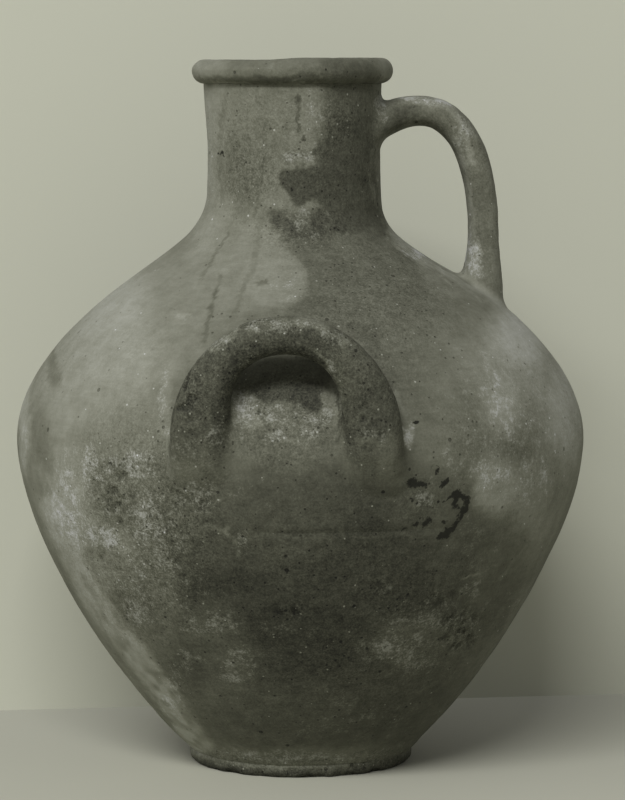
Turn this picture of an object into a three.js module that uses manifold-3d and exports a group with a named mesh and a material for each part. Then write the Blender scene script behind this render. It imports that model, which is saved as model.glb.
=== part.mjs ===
// A hydria: a water jar of fired clay with one handle on the neck and two lifting handles on the belly.
//
// Millimetres, +Z up. The origin is the centre of the flat face that the jar stands on. +X points to the
// neck handle, and the lifting handles stand on the front (-Y) and on the rear (+Y).
//
// The jar is put together as a potter does it: a turned foot, a body thrown in two parts that meet in a
// seam below the belly, a separate neck, a rolled lip, and three pulled handles. Each handle root is cut
// to the curve of the wall and bound to it by a coil of clay smoothed into a cove.

import * as THREE from 'three';
import { mergeVertices } from 'three/addons/utils/BufferGeometryUtils.js';
import Module from 'manifold-3d';

const wasm = await Module();
wasm.setup();

// Driving dimensions of the body of revolution, stacked from the floor up
const footHeight = 8.5;
const footRadius = 70;
const footEdgeDraw = 4.5;
const footEdgeRise = 5;
const footSeatRadius = 50;
const footSeatDepth = 2.5;
const wallFootRadius = 69.3;
const wallRise = 197;
const bellyRadius = 177.6;
const shoulderRise = 93;
const shoulderRadius = 112;
const coveRise = 51.5;
const neckRadius = 55.9;
const neckLength = 75;
const neckTopRadius = 55.3;
const lipHeight = 16;
const lipRadius = 62.5;
const lipCrownRadius = 53.5;
const lipUndercut = 75;

// Slopes of the outline, in degrees from upright, outward positive
const wallFlare = 49.6;
const shoulderSlope = -56.4;
const neckTaper = -5;
const mouthFlare = 1.5;

// Fullness of each stretch of the outline: the pull of its two ends as shares of its own rise
const wallPull = [0.257, 0.317];
const shoulderPull = [0.464, 0.207];
const covePull = [0.9, 0.35];
const neckPull = [0.3, 0.3];

// Walls, floor and joints
const wallAtFoot = 11;
const wallAtBelly = 8.5;
const wallAtNeck = 7.5;
const floorThickness = 13;
const floorFillet = 16;
const seamDrop = 40.5;
const collarDrop = 10;
const ridgeHeight = 3.5;
const clearance = 0.3;

// The neck was set on a little off the middle of the body
const neckShift = -5;
const shiftStartDrop = 14;
const shiftEndDrop = 5;

// Neck handle: an upright loop from below the lip to the shoulder
const neckHandleDrop = 28.5;
const neckHandleClimb = 33.3;
const neckHandleReach = 114.3;
const neckHandleBend = 94.7;
const neckHandleCrownPull = 63;
const neckHandleBackPull = 54.8;
const neckHandleFootRadius = 118;
const neckHandleFootSplay = -3;
const neckHandleDepth = 19.1;
const neckHandleWidth = 31;
const neckHandlePadDepth = 21.5;
const neckHandlePadWidth = 44;
const neckHandlePadShare = 0.18;
const neckHandleBaseDepth = 31;
const neckHandleBaseWidth = 38;
const neckHandleBaseShare = 0.3;

// Lifting handles: an upturned horseshoe that stands clear of the shoulder. Rises are above the belly
// line, and insets are inside the belly radius.
const gripTurn = 2.8;
const gripArchRise = 76.1;
const gripArchInset = 1;
const gripLegRise = 21;
const gripLegInset = 5.5;
const gripHalfSpan = 50.9;
const gripLegSplay = 3;
const gripArchPull = 33;
const gripLegPull = 29;
const gripArchDepth = 22.6;
const gripLegDepth = 34;
const gripThickness = 20.5;

// Handle roots and the coils that bind them
const rootSink = 16;
const gripRootDrop = 40;
const sectionSquareness = 2.5;
const coilFeather = 1;
const topCoilReach = 6;
const topCoilFlare = 2.5;
const baseCoilReach = 9;
const baseCoilFlare = 4;
const gripCoilReach = 8;
const gripCoilFlare = 3.5;

// Facets: how many flats round each piece and along each stretch
const aroundBody = 40;
const aroundHandle = 16;
const neckHandleStations = 24;
const gripStations = 28;
const coilRows = 6;
const facets = {
  lowerWall: 10, innerWall: 7, floorFillet: 4, belly: 3, shoulder: 8, cove: 5, collar: 2, neck: 5,
  footEdge: 4, lipRoll: 8, lipBore: 4,
};

// Heights worked out from the stack
const bellyZ = footHeight + wallRise;
const shoulderZ = bellyZ + shoulderRise;
const neckZ = shoulderZ + coveRise;
const lipZ = neckZ + neckLength;
const rimZ = lipZ + lipHeight;
const seamZ = bellyZ - seamDrop;
const collarZ = neckZ - collarDrop;
const floorZ = footHeight + floorThickness;

// Small helpers
const radians = THREE.MathUtils.degToRad;
const lerp = THREE.MathUtils.lerp;
const smoothstep = THREE.MathUtils.smoothstep;
const v2 = (r, z) => new THREE.Vector2(r, z);
const v3 = (x, y, z) => new THREE.Vector3(x, y, z);

function slope(degrees, length) {
  return v2(Math.sin(radians(degrees)), Math.cos(radians(degrees))).multiplyScalar(length);
}

// The parameter between low and high at which a rising function passes zero
function crossing(rising, low, high) {
  const halvings = 40;
  for (let i = 0; i < halvings; i += 1) {
    const middle = (low + high) / 2;
    if (rising(middle) < 0) low = middle;
    else high = middle;
  }
  return (low + high) / 2;
}

// The outline of the jar as four smooth stretches of (radius, height)
function stretch(from, fromPull, to, toPull) {
  return new THREE.CubicBezierCurve(from, from.clone().add(fromPull), to.clone().sub(toPull), to);
}

const footEdge = v2(wallFootRadius, footHeight);
const belly = v2(bellyRadius, bellyZ);
const shoulder = v2(shoulderRadius, shoulderZ);
const neckFoot = v2(neckRadius, neckZ);
const neckTop = v2(neckTopRadius, lipZ);

const wallCurve = stretch(
  footEdge, slope(wallFlare, wallRise * wallPull[0]),
  belly, slope(0, wallRise * wallPull[1]));
const shoulderCurve = stretch(
  belly, slope(0, shoulderRise * shoulderPull[0]),
  shoulder, slope(shoulderSlope, shoulderRise * shoulderPull[1]));
const coveCurve = stretch(
  shoulder, slope(shoulderSlope, coveRise * covePull[0]),
  neckFoot, slope(neckTaper, coveRise * covePull[1]));
const neckCurve = stretch(
  neckFoot, slope(neckTaper, neckLength * neckPull[0]),
  neckTop, slope(mouthFlare, neckLength * neckPull[1]));
const outline = [wallCurve, shoulderCurve, coveCurve, neckCurve];

function parameterAt(curve, z) {
  return crossing((t) => curve.getPoint(t).y - z, 0, 1);
}

function outlineAt(z) {
  const curve = outline.find((one) => z <= one.v3.y) ?? neckCurve;
  const t = parameterAt(curve, z);
  return { point: curve.getPoint(t), along: curve.getTangent(t) };
}

function shoulderHeightAt(radius) {
  const t = crossing((u) => radius - shoulderCurve.getPoint(u).x, 0, 1);
  return shoulderCurve.getPoint(t).y;
}

const seamT = parameterAt(wallCurve, seamZ);
const collarT = parameterAt(coveCurve, collarZ);

// Wall thickness, thinner from the foot to the belly and on to the neck
function wallAt(z) {
  if (z < bellyZ) return lerp(wallAtFoot, wallAtBelly, (z - footHeight) / wallRise);
  return lerp(wallAtBelly, wallAtNeck, Math.min(1, (z - bellyZ) / (neckZ - bellyZ)));
}

// How far the axis has moved over at a height
function shiftAt(z) {
  return neckShift * smoothstep(z, shoulderZ - shiftStartDrop, collarZ - shiftEndDrop);
}

// Points of a curve between two parameters, moved outward by an offset
function run(curve, from, to, steps, offset) {
  return Array.from({ length: steps + 1 }, (_, i) => {
    const t = lerp(from, to, i / steps);
    const point = curve.getPoint(t);
    const along = curve.getTangent(t);
    return point.addScaledVector(v2(along.y, -along.x), offset(point.y));
  });
}

const onSurface = () => 0;
const insideWall = (z) => -wallAt(z);

// The outer stretches of the three walls, with their facets
const lowerRuns = [[wallCurve, 0, seamT, facets.lowerWall]];
const upperRuns = [
  [wallCurve, seamT, 1, facets.belly],
  [shoulderCurve, 0, 1, facets.shoulder],
  [coveCurve, 0, collarT, facets.cove],
];
const neckRuns = [[coveCurve, collarT, 1, facets.collar], [neckCurve, 0, 1, facets.neck]];

function runs(list, offset) {
  return list.flatMap(([curve, from, to, steps], i) => {
    const points = run(curve, from, to, steps, offset);
    return i === 0 ? points : points.slice(1);
  });
}

// A ridge across the edge of a wall: outer corner, ridge, inner corner. The piece above has the same
// edge as a groove, moved along the wall by the gap that leaves the clearance on the slanted faces.
function seat(curve, t, above) {
  const outer = curve.getPoint(t);
  const along = curve.getTangent(t);
  const thickness = wallAt(outer.y);
  const inward = v2(-along.y, along.x);
  const gap = clearance * Math.hypot(1, (2 * ridgeHeight) / thickness);
  return [[0, 0], [0.5, ridgeHeight], [1, 0]].map(([share, rise]) =>
    outer.clone()
      .addScaledVector(inward, share * thickness)
      .addScaledVector(along, rise + (above ? gap : 0)));
}

// A wall between two seats, as a closed ring profile
function wallProfile(list, below, above) {
  const outer = runs(list, onSurface).slice(1, -1);
  const inner = runs(list, insideWall).slice(1, -1).reverse();
  const start = [...below].reverse();
  return [...start, ...outer, ...above, ...inner, start[0]];
}

// The lower wall and the floor, solid to the axis, with a boss that keys into the foot
function lowerBodyProfile() {
  const inside = (t) => run(wallCurve, t, t, 1, insideWall)[0];
  const floorT = crossing((t) => inside(t).y - floorZ - floorFillet, 0, seamT);
  const inner = run(wallCurve, floorT, seamT, facets.innerWall, insideWall).slice(0, -1).reverse();
  const start = inner[inner.length - 1];
  const fall = wallCurve.getTangent(floorT);
  const corner = start.clone().addScaledVector(fall, -floorFillet / fall.y);
  const end = v2(corner.x - floorFillet, floorZ);
  const fillet = new THREE.QuadraticBezierCurve(start, corner, end).getPoints(facets.floorFillet).slice(1);
  return [
    v2(0, footHeight - footSeatDepth),
    v2(footSeatRadius, footHeight - footSeatDepth),
    v2(footSeatRadius, footHeight),
    ...runs(lowerRuns, onSurface).slice(0, -1),
    ...seat(wallCurve, seamT, false),
    ...inner,
    ...fillet,
    v2(0, floorZ),
  ];
}

// Points on a quarter or half of an oval in the profile, by angle from outward
function oval(centre, radial, upright, fromDegrees, toDegrees, steps) {
  return Array.from({ length: steps + 1 }, (_, i) => {
    const angle = radians(lerp(fromDegrees, toDegrees, i / steps));
    return centre.clone().add(v2(radial * Math.cos(angle), upright * Math.sin(angle)));
  });
}

// The foot: a turned disc with a rounded edge and a shallow recess for the body's boss
function footProfile() {
  const top = footHeight - clearance;
  const edgeCentre = v2(footRadius - footEdgeDraw, footEdgeRise);
  const edge = oval(edgeCentre, footEdgeDraw, footEdgeRise, -90, 0, facets.footEdge);
  const recess = footSeatRadius + clearance;
  return [
    v2(0, 0),
    ...edge,
    v2(footRadius - clearance, top),
    v2(recess, top),
    v2(recess, top - footSeatDepth),
    v2(0, top - footSeatDepth),
  ];
}

// The lip: a roll that overhangs the neck, nearly flat on top
function lipProfile() {
  const groove = seat(neckCurve, 1, true).reverse();
  const roll = v2(neckTopRadius, (lipZ + clearance + rimZ) / 2);
  const outer = oval(roll, lipRadius - roll.x, rimZ - roll.y, -lipUndercut, 90, facets.lipRoll);
  const bore = neckTopRadius - wallAtNeck;
  const shelf = v2(lipCrownRadius, roll.y);
  const inner = oval(shelf, shelf.x - bore, rimZ - shelf.y, 90, 180, facets.lipBore);
  return [...groove, ...outer, ...inner, groove[0]];
}

// Join the vertices that meet and drop the triangles that have no area
function weld(geometry) {
  geometry.deleteAttribute('normal');
  geometry.deleteAttribute('uv');
  const merged = mergeVertices(geometry, 1e-4);
  const corners = merged.index.array;
  const kept = [];
  for (let i = 0; i < corners.length; i += 3) {
    const [a, b, c] = [corners[i], corners[i + 1], corners[i + 2]];
    if (a !== b && b !== c && c !== a) kept.push(a, b, c);
  }
  merged.setIndex(kept);
  return merged;
}

// Turn a profile about the upright axis
function lathe(profile) {
  return weld(new THREE.LatheGeometry(profile, aroundBody).rotateX(Math.PI / 2));
}

// Move every ring sideways by the shift of the axis at its height
function shiftRings(geometry) {
  const position = geometry.attributes.position;
  for (let i = 0; i < position.count; i += 1) {
    position.setX(i, position.getX(i) + shiftAt(position.getZ(i)));
  }
  return geometry;
}

// Between three.js geometries and solids that can be cut
function toSolid(geometry) {
  return new wasm.Manifold(new wasm.Mesh({
    numProp: 3,
    vertProperties: Float32Array.from(geometry.attributes.position.array),
    triVerts: Uint32Array.from(geometry.index.array),
  }));
}

function toGeometry(solid) {
  const mesh = solid.getMesh();
  const geometry = new THREE.BufferGeometry();
  geometry.setAttribute('position', new THREE.BufferAttribute(mesh.vertProperties, 3));
  geometry.setIndex(Array.from(mesh.triVerts));
  return geometry;
}

// The space that nothing fixed to the outside may enter: the outline grown by the clearance, filled in
function grownBody() {
  const skin = runs([...lowerRuns, ...upperRuns, ...neckRuns], () => clearance);
  return toSolid(shiftRings(lathe([v2(0, footHeight), ...skin, v2(0, lipZ)])));
}

// A bar of squared oval section along a path. Its width keeps to one direction, and a point of its
// surface is found by place along the path, angle round the section and growth off the surface.
function bar(path, halfSizes, widthwise) {
  return (place, angle, growth) => {
    const centre = path.getPoint(place);
    const along = path.getTangent(place);
    const depthwise = along.clone().cross(widthwise).normalize();
    const across = along.clone().cross(depthwise).normalize();
    const [depth, width] = halfSizes(place);
    const squared = (value) => Math.sign(value) * Math.abs(value) ** (2 / sectionSquareness);
    return centre
      .addScaledVector(depthwise, (depth + growth) * squared(Math.cos(angle)))
      .addScaledVector(across, (width + growth) * squared(Math.sin(angle)));
  };
}

const sideAngles = Array.from({ length: aroundHandle }, (_, k) => (2 * Math.PI * k) / aroundHandle);

// Faces between neighbouring rings of points, which may close on themselves from last to first
function bandFaces(ringCount, ringSize, closed) {
  const faces = [];
  const bands = closed ? ringCount : ringCount - 1;
  for (let i = 0; i < bands; i += 1) {
    for (let k = 0; k < ringSize; k += 1) {
      const here = i * ringSize;
      const next = ((i + 1) % ringCount) * ringSize;
      const beside = (k + 1) % ringSize;
      faces.push(here + k, here + beside, next + k);
      faces.push(here + beside, next + beside, next + k);
    }
  }
  return faces;
}

function meshOf(points, faces) {
  const geometry = new THREE.BufferGeometry().setFromPoints(points);
  geometry.setIndex(faces);
  return geometry;
}

// The whole bar with both ends closed
function barSolid(surface, stations, growth) {
  const rings = Array.from({ length: stations + 1 }, (_, i) =>
    sideAngles.map((angle) => surface(i / stations, angle, growth)));
  const points = rings.flat();
  const faces = bandFaces(rings.length, aroundHandle, false);
  const middle = (ring) => ring.reduce((sum, point) => sum.add(point), v3(0, 0, 0)).divideScalar(ring.length);
  const first = points.push(middle(rings[0])) - 1;
  const last = points.push(middle(rings[stations])) - 1;
  for (let k = 0; k < aroundHandle; k += 1) {
    const beside = (k + 1) % aroundHandle;
    const top = stations * aroundHandle;
    faces.push(first, beside, k);
    faces.push(last, top + k, top + beside);
  }
  return toSolid(meshOf(points, faces));
}

// Distance of a point from the outer wall, square to it, negative inside
function offWall(point) {
  const { point: onWall, along } = outlineAt(point.z);
  return (Math.hypot(point.x - shiftAt(point.z), point.y) - onWall.x) * along.y;
}

// The coil round a root: on each side of the bar it starts thin where the bar is a given reach off the
// wall, and swells into a cove towards the wall
function coilSolid(surface, middlePlace, rootPlace, reach, flare) {
  const rows = Array.from({ length: coilRows + 1 }, () => []);
  const hidden = Array.from({ length: coilRows + 1 }, () => []);
  for (const angle of sideAngles) {
    const height = (share) => offWall(surface(lerp(middlePlace, rootPlace, share), angle, 0));
    const start = crossing((share) => reach - height(share), 0, 1);
    rows.forEach((row, i) => {
      const share = lerp(start, 1, i / coilRows);
      const nearness = THREE.MathUtils.clamp(1 - height(share) / reach, 0, 1);
      const place = lerp(middlePlace, rootPlace, share);
      row.push(surface(place, angle, coilFeather + flare * nearness ** 2));
      hidden[coilRows - i].push(surface(place, angle, -coilFeather));
    });
  }
  const points = [...rows, ...hidden].flat();
  const faces = bandFaces(2 * rows.length, aroundHandle, true);
  if (rootPlace < middlePlace) {
    for (let i = 0; i < faces.length; i += 3) [faces[i], faces[i + 1]] = [faces[i + 1], faces[i]];
  }
  return toSolid(meshOf(points, faces));
}

const grown = grownBody();

// A handle: the bar cut to the wall at its roots
function handleGeometry(surface, stations) {
  return toGeometry(barSolid(surface, stations, 0).subtract(grown));
}

// A coil cut to the wall that it lies on and to the bar that it binds
function coilGeometry(surface, stations, rootPlace, reach, flare) {
  const middlePlace = 0.5;
  const coil = coilSolid(surface, middlePlace, rootPlace, reach, flare);
  return toGeometry(coil.subtract(grown).subtract(barSolid(surface, stations, clearance)));
}

function pathOf(...stretches) {
  const path = new THREE.CurvePath();
  stretches.forEach((points) => path.add(new THREE.CubicBezierCurve3(...points)));
  return path;
}

// The neck handle leaves the neck climbing, turns over and comes straight down on the shoulder
function neckHandleSurface() {
  const rootZ = lipZ - neckHandleDrop;
  const start = v3(shiftAt(rootZ) + outlineAt(rootZ).point.x - rootSink / 2, 0, rootZ);
  const climb = slope(90 - neckHandleClimb, neckHandleCrownPull);
  const back = v3(neckHandleReach, 0, lipZ - neckHandleBend);
  const footZ = shoulderHeightAt(neckHandleFootRadius);
  const end = v3(neckHandleReach + neckHandleFootSplay, 0, footZ - rootSink);
  const third = (back.z - end.z) / 3;
  const path = pathOf(
    [start, v3(start.x + climb.x, 0, start.z + climb.y), v3(back.x, 0, back.z + neckHandleBackPull), back],
    [back, v3(back.x, 0, back.z - third), v3(end.x - neckHandleFootSplay / 2, 0, end.z + third), end]);
  const halfSizes = (place) => {
    const pad = 1 - smoothstep(place, 0, neckHandlePadShare);
    const base = smoothstep(place, 1 - neckHandleBaseShare, 1);
    return [
      lerp(lerp(neckHandleDepth, neckHandlePadDepth, pad), neckHandleBaseDepth, base) / 2,
      lerp(lerp(neckHandleWidth, neckHandlePadWidth, pad), neckHandleBaseWidth, base) / 2,
    ];
  };
  return bar(path, halfSizes, v3(0, 1, 0));
}

// A lifting handle on the front: up from one root, over the arch and down to the other
function gripSurface() {
  const legZ = bellyZ + gripLegRise;
  const archZ = bellyZ + gripArchRise;
  const legOut = bellyRadius - gripLegInset;
  const archOut = bellyRadius - gripArchInset;
  const rootOut = bellyRadius - 2 * rootSink;
  const leanOut = ((archOut - legOut) / (archZ - legZ)) * gripLegPull;
  const leg = (side) => v3(side * gripHalfSpan, -legOut, legZ);
  const legAbove = (side) => v3(side * (gripHalfSpan - gripLegSplay), -legOut - leanOut, legZ + gripLegPull);
  const legBelow = (side) => v3(side * gripHalfSpan, -legOut, legZ - gripRootDrop / 2);
  const root = (side) => v3(side * gripHalfSpan, -rootOut, legZ - gripRootDrop);
  const rootAbove = (side) => root(side).lerp(legBelow(side), 0.5);
  const arch = v3(0, -archOut, archZ);
  const archBeside = (side) => v3(side * gripArchPull, -archOut, archZ);
  const path = pathOf(
    [root(-1), rootAbove(-1), legBelow(-1), leg(-1)],
    [leg(-1), legAbove(-1), archBeside(-1), arch],
    [arch, archBeside(1), legAbove(1), leg(1)],
    [leg(1), legBelow(1), rootAbove(1), root(1)]);
  const halfSizes = (place) => {
    const drop = smoothstep(archZ - path.getPoint(place).z, 0, archZ - legZ);
    return [lerp(gripArchDepth, gripLegDepth, drop) / 2, gripThickness / 2];
  };
  return bar(path, halfSizes, v3(0, -1, 0));
}

// Fired clay, a little different from piece to piece
const clay = (color) => new THREE.MeshStandardMaterial({ color, roughness: 0.9, metalness: 0 });
const bodyClay = clay(0x6b6a5d);
const neckClay = clay(0x737265);
const handleClay = clay(0x6f6e61);
const coilClay = clay(0x7a796b);
const footClay = clay(0x5b5a4b);

function piece(name, geometry, material) {
  const mesh = new THREE.Mesh(geometry, material);
  mesh.name = name;
  return mesh;
}

// The vessel: foot, lower body, upper body, neck and lip
function vessel() {
  const group = new THREE.Group();
  const seam = seat(wallCurve, seamT, true);
  const collarBelow = seat(coveCurve, collarT, false);
  const collarAbove = seat(coveCurve, collarT, true);
  const upper = shiftRings(lathe(wallProfile(upperRuns, seam, collarBelow)));
  const neckGroup = new THREE.Group();
  neckGroup.position.x = neckShift;
  neckGroup.add(
    piece('neck', lathe(wallProfile(neckRuns, collarAbove, seat(neckCurve, 1, false))), neckClay),
    piece('lip', lathe(lipProfile()), neckClay));
  group.add(
    piece('foot', lathe(footProfile()), footClay),
    piece('lower_body', lathe(lowerBodyProfile()), bodyClay),
    piece('upper_body', upper, bodyClay),
    neckGroup);
  return group;
}

// The neck handle with a coil at each root
function neckHandle() {
  const group = new THREE.Group();
  const surface = neckHandleSurface();
  const coil = (...shape) => coilGeometry(surface, neckHandleStations, ...shape);
  group.add(
    piece('neck_handle', handleGeometry(surface, neckHandleStations), handleClay),
    piece('neck_handle_top_coil', coil(0, topCoilReach, topCoilFlare), coilClay),
    piece('neck_handle_base_coil', coil(1, baseCoilReach, baseCoilFlare), coilClay));
  return group;
}

// The front and rear lifting handles, opposite each other
function liftingHandles() {
  const group = new THREE.Group();
  const toFront = new THREE.Matrix4().makeRotationZ(radians(-gripTurn));
  const straight = gripSurface();
  const surface = (...place) => straight(...place).applyMatrix4(toFront);
  const handle = handleGeometry(surface, gripStations);
  const coil = (rootPlace) => coilGeometry(surface, gripStations, rootPlace, gripCoilReach, gripCoilFlare);
  const [leftCoil, rightCoil] = [coil(0), coil(1)];
  [['front', 0], ['rear', Math.PI]].forEach(([side, turn]) => {
    const grip = new THREE.Group();
    grip.rotation.z = turn;
    grip.add(
      piece(`${side}_handle`, handle, handleClay),
      piece(`${side}_handle_left_coil`, leftCoil, coilClay),
      piece(`${side}_handle_right_coil`, rightCoil, coilClay));
    group.add(grip);
  });
  return group;
}

const hydria = new THREE.Group();
hydria.name = 'hydria';
hydria.add(vessel(), neckHandle(), liftingHandles());

export default hydria;
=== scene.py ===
"""The look of an old fired clay water jar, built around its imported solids.

The wall, the foot and the lip are turned again from the solids' own outlines, with a finer surface, and
each handle is melted into the wall with the clay that binds it. Lengths are in millimetres up to the
point where a mesh is made. The jar's front faces -Y, and +X points to the neck handle.
"""

import math

import bpy
import numpy as np
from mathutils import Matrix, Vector
from mathutils.bvhtree import BVHTree


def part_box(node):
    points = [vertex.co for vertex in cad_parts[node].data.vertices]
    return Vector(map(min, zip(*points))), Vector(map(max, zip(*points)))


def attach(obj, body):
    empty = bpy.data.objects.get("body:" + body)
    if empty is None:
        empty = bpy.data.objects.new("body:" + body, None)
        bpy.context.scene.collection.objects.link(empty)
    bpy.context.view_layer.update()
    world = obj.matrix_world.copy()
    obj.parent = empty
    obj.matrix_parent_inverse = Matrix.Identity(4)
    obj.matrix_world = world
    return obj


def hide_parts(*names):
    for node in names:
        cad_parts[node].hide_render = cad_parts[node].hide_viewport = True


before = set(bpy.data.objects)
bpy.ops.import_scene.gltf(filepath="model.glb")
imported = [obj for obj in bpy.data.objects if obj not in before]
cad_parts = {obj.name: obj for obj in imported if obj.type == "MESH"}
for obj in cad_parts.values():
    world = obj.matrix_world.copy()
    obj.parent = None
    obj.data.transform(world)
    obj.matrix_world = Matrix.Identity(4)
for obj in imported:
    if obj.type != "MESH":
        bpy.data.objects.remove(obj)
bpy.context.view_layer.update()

METRES = 0.001

# How finely the turned pieces are made
COLUMNS = 528
FRONT_CROWDING = 0.3
OUTER_SPACING = {"lower_body": 1.55, "upper_body": 1.55, "neck": 0.9, "lip": 0.55, "foot": 0.7}
INNER_SPACING = 8.0
WALL_SPACING = 1.0
LEAST_WALL_RISE = 20.0
OUTSIDE = 2
INSIDE = 1
CORNER_TURN = 30.0
CORNER_LENGTHS = 4.0
SHARP_TURN = 30.0
SAME_PLACE = 0.02
ON_FLOOR = 0.01
JOINT_REACH = 1.0
NEAREST_ROUNDS = 4
HIDDEN_SHIFT = 40.0

# How finely the handles are made
COARSE_CELL = 2.5
FINE_CELLS = 3
FINE_CELL = COARSE_CELL / FINE_CELLS
HANDLE_MARGIN = 22.0
SEARCH_REACH = 14.0
RAY_NUDGE = 0.0007
RAY_STEP = 0.001
SETTLE_ROUNDS = 3
SETTLE_SHARE = 0.6
LEAST_SLOPE = 0.2

# How a handle melts into the wall
MELT_INFLATE = 0.2
BLUR_LOSS = 0.15
SINK = 0.35
SINK_START = 0.3
SINK_RUN = 4
BACK_DEPTH = 3.0
SKIN_MARGIN = 3
WALL_REACH = 5
HANDLE_REACH = 4
OWN_RELIEF = (2, 9)
OWN_PAINT = (0.5, 6)

# Lumps of the clay: height and size of each kind
WALL_LUMPS = [(0.5, 95.0), (0.26, 31.0), (0.1, 11.0)]
LIP_LUMPS = [(0.26, 34.0), (0.14, 12.0), (0.06, 4.0)]
HANDLE_LUMPS = [(0.22, 22.0), (0.16, 8.0), (0.07, 3.5)]

# Rings of throwing: how far they wander, over what length, how little they change round the jar, their size
WALL_RINGS = (1.2, 130.0, 0.03, 3.6)
INNER_RINGS = (2.0, 90.0, 0.02, 9.0)
RING_HEIGHT = 0.08
NECK_RING_HEIGHT = 0.1
INNER_RING_HEIGHT = 0.7

# Relief of the wall, the foot and the lip. A pair says where something begins and where it is full.
NECK_UNEVEN = 0.35
NECK_START = 25
NECK_FULL = 10
SEAM_DEPTH = 0.5
SEAM_WIDTH = 1.9
SEAM_FAINT = 0.12
SEAM_LEFT = (-34, -8)
SEAM_RIGHT = (104, 70)
NECK_DENT = 2.0
DENT_SIDE = (-20, -50)
DENT_LOW = (338, 356)
DENT_HIGH = (424, 380)
FOOT_COVER = 0.9
COVER_Z = (17, 9)
COVER_SIDE = (-62, -46)
FOOT_LEDGE = 0.35
LEDGE_SIDE = (-46, -62)
FOOT_RIM = (60, 67)
FOOT_HIGH = (4.5, 8)
FOOT_FLAT = (66, 40)
FOOT_UNDER_ROUGH = 0.35
CRUMBLE_DEPTH = 1.5
CRUMBLE_EDGE = (0.0, 0.7)
LIP_KNOCK = 0.35
LIP_KNOCK_EDGE = (0.35, 0.9)
LIP_SAG = 1.2
SAG_SIDE = (0, -22)
SAG_START = 8
SAG_FULL = 15
PIT_SIZE = 4.2
PIT_DEPTH = 1.2
PIT_EDGE = (0.1, 0.45)
PIT_DIRT = 0.1

# Where the wall and the front handle are pitted: x, z, half width, half height, amount
WALL_PITTED = [
    (-107, 186, 12, 18, 0.8), (-82, 176, 16, 12, 0.5), (96, 97, 12, 14, 1), (-4, 117, 12, 5, 0.8),
    (-56, 183, 10, 5, 0.8), (-118, 142, 10, 6, 0.6), (84, 124, 10, 8, 0.5),
]
HANDLE_PITTED = [(-64, 246, 10, 18, 0.8), (42, 234, 8, 12, 0.5)]


def smooth(value, low, high):
    """0 below low, 1 above high and a smooth rise between; low may be the larger."""
    share = np.clip((value - low) / (high - low), 0.0, 1.0)
    return share * share * (3.0 - 2.0 * share)


def mix(a, b, share):
    return a + (b - a) * share


# Noise on a lattice of hashed numbers, the same on each run

LAYERS = 3
TURNS = [(0.36, 0.48, -0.80), (-0.80, 0.60, 0.00), (0.48, 0.64, 0.60)]


def hashed(cells, seed):
    """A number from 0 to 1 for each whole-number cell."""
    mixed = cells[..., 0] * 73856093 ^ cells[..., 1] * 19349663 ^ cells[..., 2] * 83492791
    value = ((mixed ^ seed * 374761393) & 0xFFFFFFFF).astype(np.uint32)
    for shift, factor in ((16, 0x7FEB352D), (15, 0x846CA68B)):
        value ^= value >> np.uint32(shift)
        value *= np.uint32(factor)
    value ^= value >> np.uint32(16)
    return value / 2.0**32


def blended(cells, part, value_at):
    """Values at the eight corners of cells, blended by how far places lie along each side."""
    total = np.zeros(len(part))
    for corner in np.ndindex(2, 2, 2):
        weight = np.prod(np.where(np.array(corner), part, 1.0 - part), axis=1)
        total += weight * value_at(cells + np.array(corner))
    return total


def noise(points, size, seed):
    """Smooth noise from about -1 to 1, with lumps of about the given size."""
    place = points @ np.array(TURNS).T / size + seed * 7.31
    cells = np.floor(place).astype(np.int64)
    part = place - cells
    fade = part * part * part * (part * (part * 6.0 - 15.0) + 10.0)
    return 2.0 * blended(cells, fade, lambda corners: hashed(corners, seed)) - 1.0


def layered(points, size, seed):
    """Noise with finer and weaker noise on top of it."""
    shares = [0.5**k for k in range(LAYERS)]
    return sum(s * noise(points, size * s, seed + k) for k, s in enumerate(shares)) / sum(shares)


def lumps(points, kinds, seed):
    """Noise of several kinds, each with a height and a size."""
    return sum(amount * noise(points, size, seed + k) for k, (amount, size) in enumerate(kinds))


def rings(points, wander, wander_size, spread, size, seed):
    """Level rings of throwing that rise and fall a little round the jar."""
    level = points[:, 2] + wander * noise(points, wander_size, seed)
    return noise(np.column_stack([points[:, :2] * spread, level]), size, seed + 1)


# Reading the turned solids


def corners_of(node):
    """A solid's corner points in mm, and the point that each of its vertices stands for."""
    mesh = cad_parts[node].data
    values = np.empty(len(mesh.vertices) * 3)
    mesh.vertices.foreach_get("co", values)
    return np.unique(np.round(values.reshape(-1, 3) / METRES, 2), axis=0, return_inverse=True)


def outline_of(node):
    """Where a turned solid meets the plane y = 0 on its +X side: radius, height and axis place, in order."""
    points, stands_for = corners_of(node)
    axis = np.array([points[abs(points[:, 2] - z) < SAME_PLACE, 0].mean() for z in points[:, 2]])
    chosen = (abs(points[:, 1]) < SAME_PLACE) & (points[:, 0] > axis - SAME_PLACE)
    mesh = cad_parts[node].data
    ends = np.empty(len(mesh.edges) * 2, dtype=np.int64)
    mesh.edges.foreach_get("vertices", ends)
    pairs = np.unique(np.sort(stands_for.ravel()[ends.reshape(-1, 2)], axis=1), axis=0)
    beside = {index: [] for index in np.flatnonzero(chosen)}
    for a, b in pairs:
        if a != b and chosen[a] and chosen[b]:
            beside[a].append(b)
            beside[b].append(a)
    loose = [index for index, others in beside.items() if len(others) == 1]
    order = [loose[0] if loose else next(iter(beside))]
    while True:
        onward = [index for index in beside[order[-1]] if index not in order]
        if not onward:
            break
        order.append(onward[0])
    rows = np.column_stack([points[order, 0] - axis[order], points[order, 2], axis[order]])
    after = np.roll(rows, -1, axis=0)
    area = np.sum(rows[:, 0] * after[:, 1] - after[:, 0] * rows[:, 1])
    return (rows if area > 0 else rows[::-1]), bool(loose)


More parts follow.
